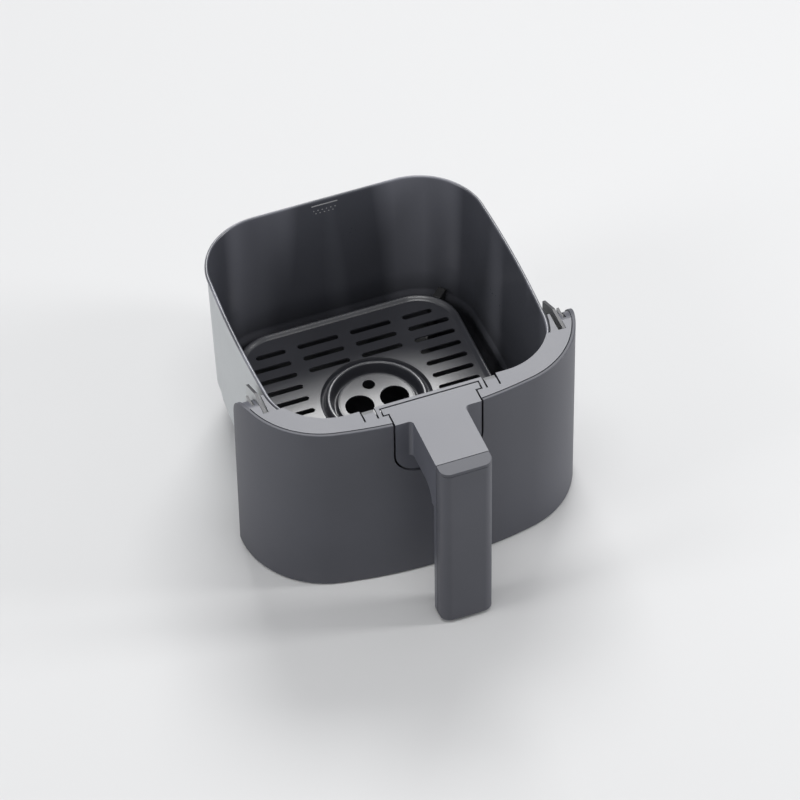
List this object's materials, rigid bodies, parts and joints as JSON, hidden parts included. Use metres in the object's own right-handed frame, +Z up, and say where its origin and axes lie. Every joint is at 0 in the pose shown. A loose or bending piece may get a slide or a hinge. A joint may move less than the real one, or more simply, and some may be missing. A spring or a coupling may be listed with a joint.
{
  "type": "air fryer drawer",
  "caption": "Square air fryer drawer with a rounded pan, slotted crisper plate, curved front panel and a fixed upright handle.",
  "frame": {"origin": "centre of the whole drawer's outline, at the height of the pan's flat underside", "axes": "+Z up, +Y from the handle towards the back of the pan, +X to the right as seen from the handle"},
  "size_m": [0.2376, 0.274, 0.147],
  "materials": {
    "coated_steel": "dark semi-gloss non-stick coating inside, silver-grey outside",
    "slate_plastic": "fine matte texture",
    "slate_plastic_light": "fine matte texture",
    "bare_steel": "bright zinc, duller grey on the two rim clips",
    "silicone": "smooth matte",
    "black_plastic": "fine matte texture, with pale outer faces on the side guides"
  },
  "bodies": {
    "drawer": {"pan": "coated_steel", "pan_bracket": "bare_steel", "heat_shield": "bare_steel", "fascia": "slate_plastic", "top_trim": "slate_plastic_light", "rim_clip_left": "bare_steel", "rim_clip_right": "bare_steel", "side_guide_left": "black_plastic", "side_guide_right": "black_plastic", "handle_body": "slate_plastic", "handle_core": "bare_steel", "grip_cover": "slate_plastic", "grip_cap": "slate_plastic_light", "grip_screw_lower": "bare_steel", "grip_screw_upper": "bare_steel", "base_screw_left": "bare_steel", "base_screw_right": "bare_steel"},
    "crisper": {"crisper_plate": "coated_steel", "leg_front_left": "silicone", "leg_front_right": "silicone", "leg_rear_left": "silicone", "leg_rear_right": "silicone", "bumper_front_left": "silicone", "bumper_front_right": "silicone", "bumper_rear_left": "silicone", "bumper_rear_right": "silicone"}
  },
  "joints": [
    {"name": "crisper_lift", "type": "slide", "parent": "drawer", "child": "crisper", "axis": [0, 0, 1], "range_m": [0, 0.15]}
  ]
}
